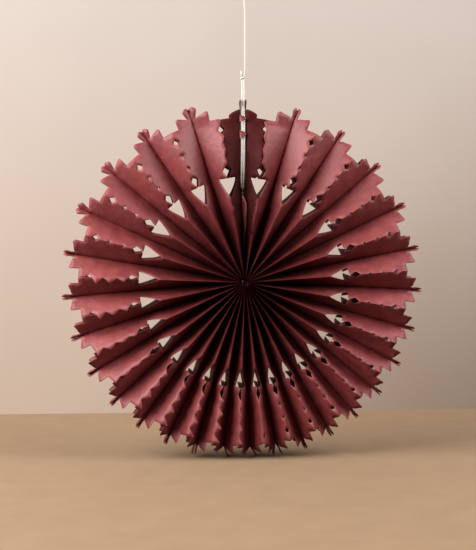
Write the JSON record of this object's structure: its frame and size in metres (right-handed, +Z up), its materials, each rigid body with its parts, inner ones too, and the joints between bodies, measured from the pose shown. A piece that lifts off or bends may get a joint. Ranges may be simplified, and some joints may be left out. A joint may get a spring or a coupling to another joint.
{
  "type": "paper fan rosette",
  "caption": "Round hanging fan of folded, die-cut paper sleeves with serrated leaf-shaped ends, glued side by side into a ring and hung from a white cotton string.",
  "frame": {"origin": "centre of the hub, halfway between the front and back folds", "axes": "+Z up through the seam and the hanging string, +X to the right seen from the front, -Y towards the viewer of the front; the fan lies in the XZ plane"},
  "size_m": [0.2992, 0.0472, 0.4131],
  "materials": {
    "paper": "dark red craft paper, through-dyed, smooth and matt with a faint sheen",
    "string": "twisted white cotton string"
  },
  "bodies": {
    "root": {"sleeve_01": "paper", "sleeve_02": "paper", "sleeve_03": "paper", "sleeve_04": "paper", "sleeve_05": "paper", "sleeve_06": "paper", "sleeve_07": "paper", "sleeve_08": "paper", "sleeve_09": "paper", "sleeve_10": "paper", "sleeve_11": "paper", "sleeve_12": "paper", "sleeve_13": "paper", "sleeve_14": "paper", "sleeve_15": "paper", "sleeve_16": "paper", "sleeve_17": "paper", "sleeve_18": "paper", "sleeve_19": "paper", "sleeve_20": "paper", "sleeve_21": "paper", "sleeve_22": "paper", "sleeve_23": "paper", "sleeve_24": "paper", "sleeve_25": "paper", "sleeve_26": "paper", "sleeve_27": "paper", "sleeve_28": "paper", "seam_strand_left": "string", "seam_strand_right": "string", "seam_knot": "string", "hanging_string": "string", "loop_knot": "string", "hanging_loop": "string"}
  },
  "joints": []
}
